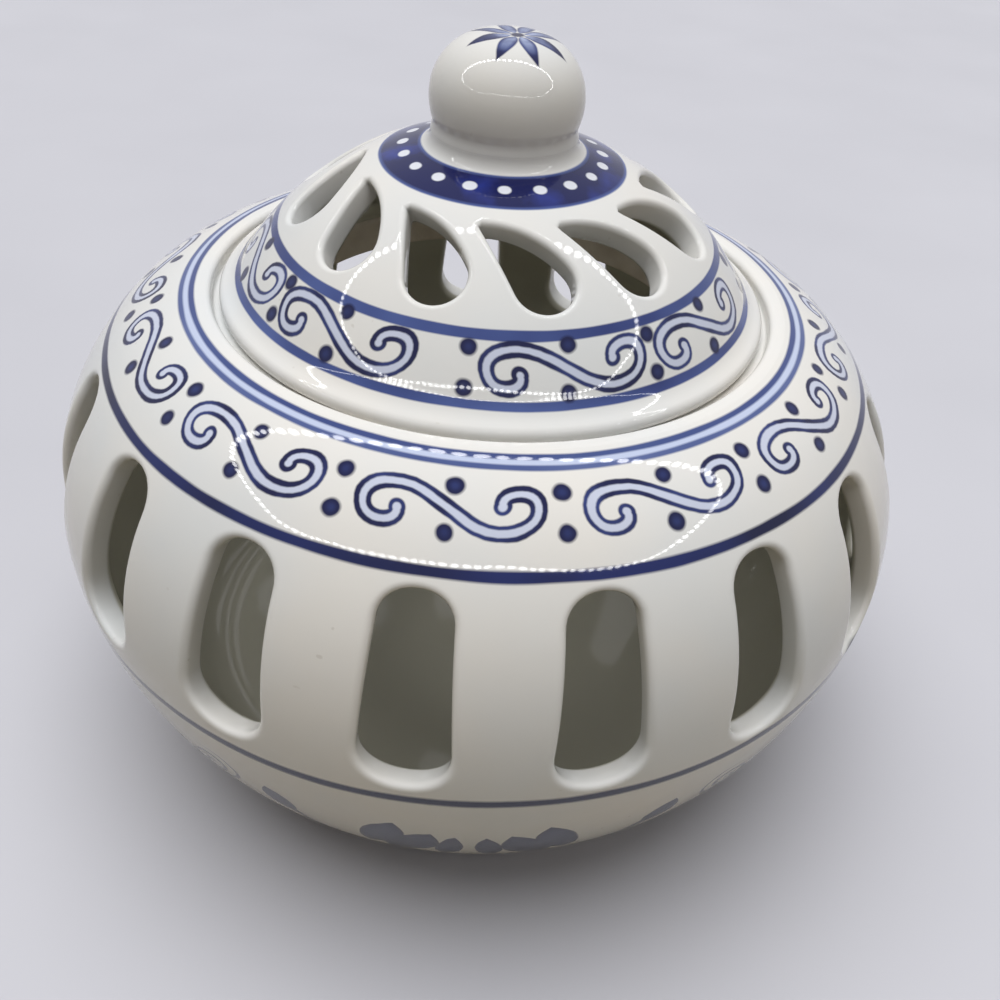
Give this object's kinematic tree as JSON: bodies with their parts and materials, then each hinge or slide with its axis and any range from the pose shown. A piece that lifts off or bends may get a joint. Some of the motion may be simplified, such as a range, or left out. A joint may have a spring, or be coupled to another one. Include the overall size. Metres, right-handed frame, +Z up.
{
  "type": "potpourri vase",
  "caption": "Squat globular porcelain jar with a slotted belly, foot ring and lift-off domed lid pierced with drop shapes, that holds potpourri and lets its scent out.",
  "frame": {"origin": "middle of the foot ring's resting face, on the axis of the bowl", "axes": "+Z up along the axis of the bowl, -Y towards the front, where one slot stands just left of the middle"},
  "size_m": [0.1331, 0.1332, 0.1145],
  "materials": {
    "porcelain": "glossy clear glaze over white porcelain, painted in cobalt blue under the glaze",
    "bare_porcelain": "unglazed fired porcelain, smooth and matt"
  },
  "bodies": {
    "bowl": {"bowl": "porcelain", "foot_ring": "bare_porcelain"},
    "lid": {"lid": "porcelain", "lid_flange": "bare_porcelain", "knob": "porcelain"}
  },
  "joints": [
    {"name": "lid_lift", "type": "slide", "parent": "bowl", "child": "lid", "axis": [0, 0, 1], "range_m": [0, 0.06]}
  ]
}
